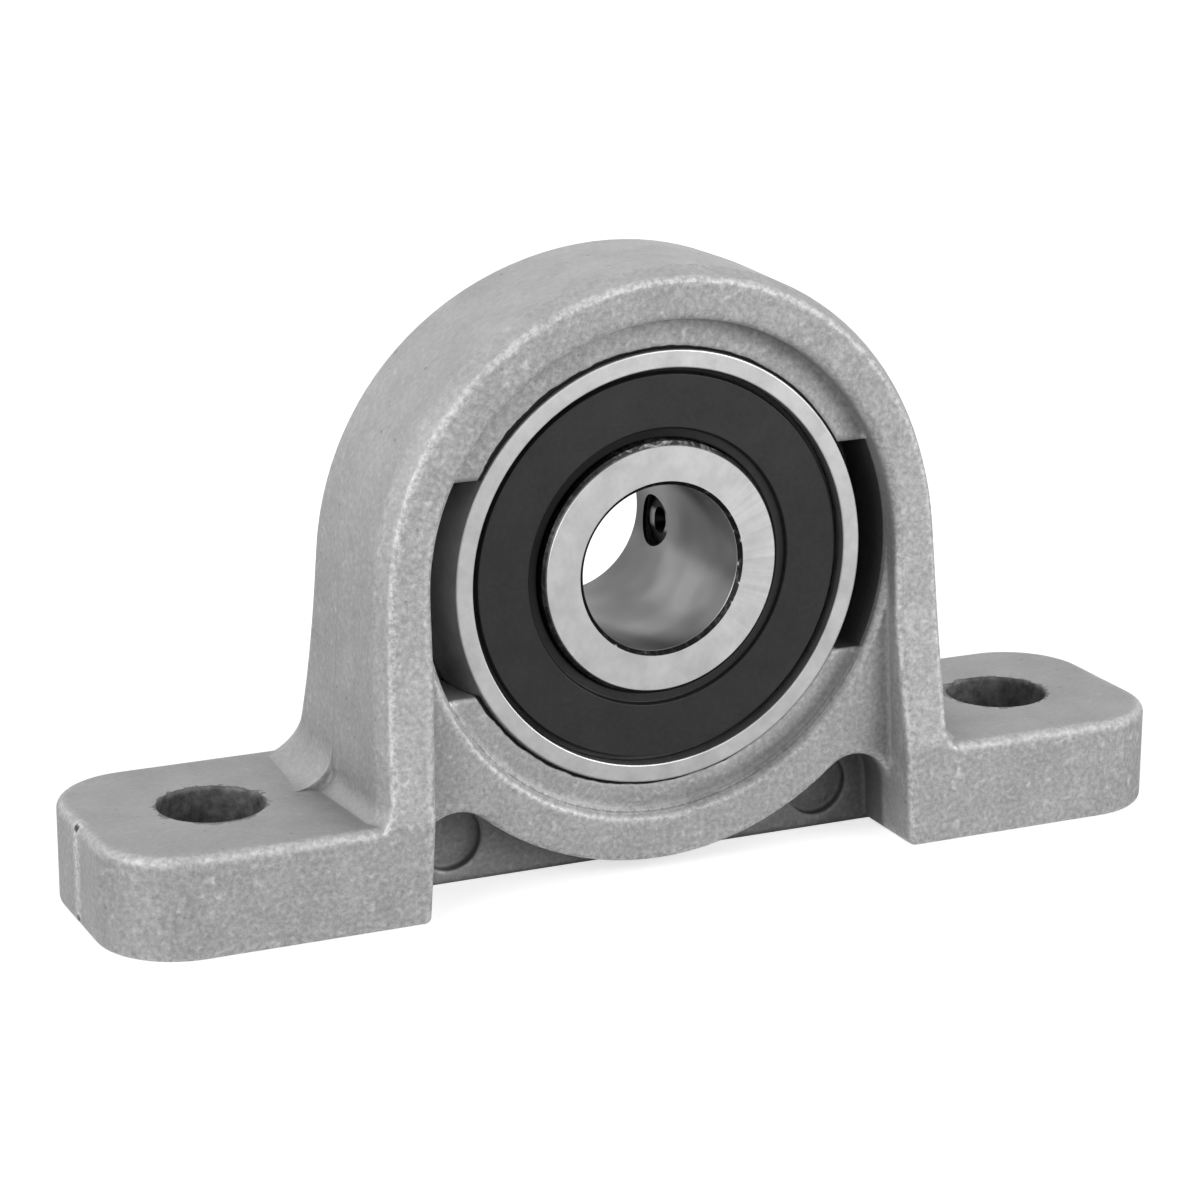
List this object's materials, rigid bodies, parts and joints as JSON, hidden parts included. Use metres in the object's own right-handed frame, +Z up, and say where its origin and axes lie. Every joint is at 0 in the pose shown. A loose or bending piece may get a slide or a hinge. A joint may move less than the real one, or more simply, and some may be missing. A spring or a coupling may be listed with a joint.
{
  "type": "pillow block bearing",
  "caption": "Small cast pillow block bearing: a long-footed arch housing holds a self-aligning ball bearing insert with seals and set screws, for carrying a round shaft.",
  "frame": {"origin": "on the underside of the base web, below the bearing centre, on the line of the bolt holes", "axes": "+X right along the base seen from the front, +Y along the shaft away from the viewer of the picture toward the set-screw side, +Z up"},
  "size_m": [0.055, 0.0137, 0.0295],
  "materials": {
    "zinc_casting": "shot-blasted zinc alloy die casting, matte mid grey with fine grain",
    "bearing_steel": "ground and honed bearing steel, light grey",
    "polished_steel": "polished bearing steel balls",
    "cage_steel": "pressed sheet steel, satin",
    "nitrile_rubber": "moulded nitrile rubber, matte charcoal",
    "screw_steel": "hardened alloy steel, dark"
  },
  "bodies": {
    "housing": {"housing": "zinc_casting"},
    "outer_ring": {"outer_ring": "bearing_steel", "front_seal_rubber": "nitrile_rubber", "rear_seal_rubber": "nitrile_rubber", "front_seal_core": "cage_steel", "rear_seal_core": "cage_steel"},
    "inner_ring": {"inner_ring": "bearing_steel"},
    "cage": {"cage_front_half": "cage_steel", "cage_rear_half": "cage_steel", "cage_rivets": "cage_steel"},
    "ball_1": {"ball_1": "polished_steel"},
    "ball_2": {"ball_2": "polished_steel"},
    "ball_3": {"ball_3": "polished_steel"},
    "ball_4": {"ball_4": "polished_steel"},
    "ball_5": {"ball_5": "polished_steel"},
    "ball_6": {"ball_6": "polished_steel"},
    "ball_7": {"ball_7": "polished_steel"},
    "set_screw_1": {"set_screw_1": "screw_steel"},
    "set_screw_2": {"set_screw_2": "screw_steel"}
  },
  "joints": [
    {"name": "self_align", "type": "hinge", "parent": "housing", "child": "outer_ring", "pos_m": [0, -0.0008, 0.015], "axis": [1, 0, 0], "range_deg": [-3, 3]},
    {"name": "inner_ring_spin", "type": "hinge", "parent": "outer_ring", "child": "inner_ring", "pos_m": [0, -0.0008, 0.015], "axis": [0, 1, 0], "continuous": true},
    {"name": "cage_spin", "type": "hinge", "parent": "outer_ring", "child": "cage", "pos_m": [0, -0.0008, 0.015], "axis": [0, 1, 0], "continuous": true},
    {"name": "ball_1_roll", "type": "hinge", "parent": "cage", "child": "ball_1", "pos_m": [0, -0.0008, 0.0225], "axis": [0, 1, 0], "continuous": true},
    {"name": "ball_2_roll", "type": "hinge", "parent": "cage", "child": "ball_2", "pos_m": [0.00586, -0.0008, 0.01968], "axis": [0, 1, 0], "continuous": true},
    {"name": "ball_3_roll", "type": "hinge", "parent": "cage", "child": "ball_3", "pos_m": [0.00731, -0.0008, 0.01333], "axis": [0, 1, 0], "continuous": true},
    {"name": "ball_4_roll", "type": "hinge", "parent": "cage", "child": "ball_4", "pos_m": [0.00325, -0.0008, 0.00824], "axis": [0, 1, 0], "continuous": true},
    {"name": "ball_5_roll", "type": "hinge", "parent": "cage", "child": "ball_5", "pos_m": [-0.00325, -0.0008, 0.00824], "axis": [0, 1, 0], "continuous": true},
    {"name": "ball_6_roll", "type": "hinge", "parent": "cage", "child": "ball_6", "pos_m": [-0.00731, -0.0008, 0.01333], "axis": [0, 1, 0], "continuous": true},
    {"name": "ball_7_roll", "type": "hinge", "parent": "cage", "child": "ball_7", "pos_m": [-0.00586, -0.0008, 0.01968], "axis": [0, 1, 0], "continuous": true},
    {"name": "set_screw_1_travel", "type": "slide", "parent": "inner_ring", "child": "set_screw_1", "axis": [0.9976, 0, -0.0698], "range_m": [-0.00035, 0.001]},
    {"name": "set_screw_2_travel", "type": "slide", "parent": "inner_ring", "child": "set_screw_2", "axis": [0.5299, 0, 0.848], "range_m": [-0.00035, 0.001]}
  ],
  "couplings": [
    {"joint": "cage_spin", "follows": "inner_ring_spin", "ratio": 0.3677},
    {"joint": "ball_1_roll", "follows": "inner_ring_spin", "ratio": -1.7573},
    {"joint": "ball_2_roll", "follows": "inner_ring_spin", "ratio": -1.7573},
    {"joint": "ball_3_roll", "follows": "inner_ring_spin", "ratio": -1.7573},
    {"joint": "ball_4_roll", "follows": "inner_ring_spin", "ratio": -1.7573},
    {"joint": "ball_5_roll", "follows": "inner_ring_spin", "ratio": -1.7573},
    {"joint": "ball_6_roll", "follows": "inner_ring_spin", "ratio": -1.7573},
    {"joint": "ball_7_roll", "follows": "inner_ring_spin", "ratio": -1.7573}
  ]
}
